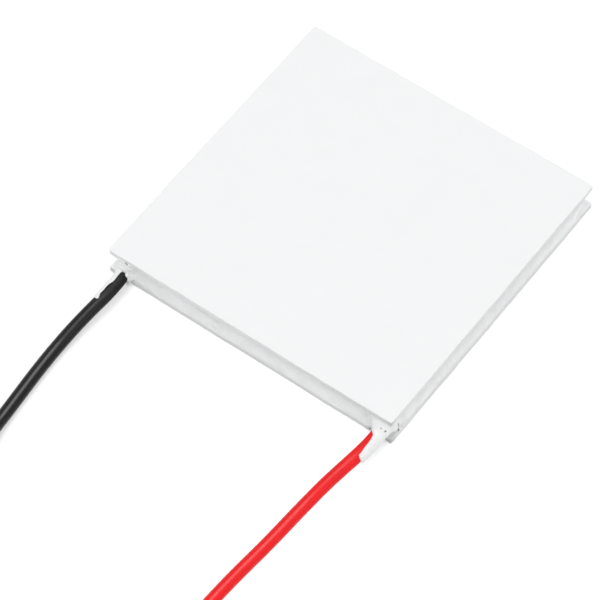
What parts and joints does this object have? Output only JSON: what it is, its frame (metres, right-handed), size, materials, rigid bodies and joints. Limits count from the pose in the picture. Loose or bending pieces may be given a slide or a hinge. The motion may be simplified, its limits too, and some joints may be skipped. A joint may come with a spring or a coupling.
{
  "type": "thermoelectric generator module",
  "caption": "Square ceramic sandwich that turns a temperature difference between its faces into electric power, with a black and a red insulated lead.",
  "frame": {"origin": "centre of the hot-side plate's outer face, which lies on the surface", "axes": "+Z out of the cold-side plate, +X along the edge with the leads from the black one to the red one, leads leave towards -Y"},
  "size_m": [0.0521, 0.1032, 0.0044],
  "materials": {
    "alumina_ceramic": "matt white fired alumina",
    "silicone": "white silicone, slightly glossy and lumpy",
    "copper": "plain copper sheet",
    "solder": "bright frozen tin solder",
    "tinned_copper": "tinned copper strands",
    "p_type_telluride": "dark grey cut crystal",
    "n_type_telluride": "mid grey cut crystal",
    "black_insulation": "satin black soft PVC",
    "red_insulation": "satin red soft PVC",
    "tie_strap": "thin matt strap"
  },
  "bodies": {
    "root": {"cold_side_plate": "alumina_ceramic", "hot_side_plate": "alumina_ceramic", "perimeter_seal": "silicone", "black_lead_sealant": "silicone", "red_lead_sealant": "silicone", "cold_side_tabs": "copper", "hot_side_tabs": "copper", "black_terminal_tab": "copper", "red_terminal_tab": "copper", "black_lead_solder": "solder", "red_lead_solder": "solder", "black_lead_core": "tinned_copper", "red_lead_core": "tinned_copper", "black_lead_tip": "tinned_copper", "red_lead_tip": "tinned_copper", "black_lead": "black_insulation", "black_lead_coil": "black_insulation", "black_lead_tail": "black_insulation", "red_lead": "red_insulation", "red_lead_coil": "red_insulation", "red_lead_tail": "red_insulation", "black_coil_tie": "tie_strap", "red_coil_tie": "tie_strap", "p_legs_1": "p_type_telluride", "n_legs_1": "n_type_telluride", "p_legs_2": "p_type_telluride", "n_legs_2": "n_type_telluride", "p_legs_3": "p_type_telluride", "n_legs_3": "n_type_telluride", "p_legs_4": "p_type_telluride", "n_legs_4": "n_type_telluride", "p_legs_5": "p_type_telluride", "n_legs_5": "n_type_telluride", "p_legs_6": "p_type_telluride", "n_legs_6": "n_type_telluride", "p_legs_7": "p_type_telluride", "n_legs_7": "n_type_telluride", "p_legs_8": "p_type_telluride", "n_legs_8": "n_type_telluride", "p_legs_9": "p_type_telluride", "n_legs_9": "n_type_telluride", "p_legs_10": "p_type_telluride", "n_legs_10": "n_type_telluride", "p_legs_11": "p_type_telluride", "n_legs_11": "n_type_telluride", "p_legs_12": "p_type_telluride", "n_legs_12": "n_type_telluride", "p_legs_13": "p_type_telluride", "n_legs_13": "n_type_telluride", "p_legs_14": "p_type_telluride", "n_legs_14": "n_type_telluride", "p_legs_15": "p_type_telluride", "n_legs_15": "n_type_telluride", "p_legs_16": "p_type_telluride", "n_legs_16": "n_type_telluride"}
  },
  "joints": []
}
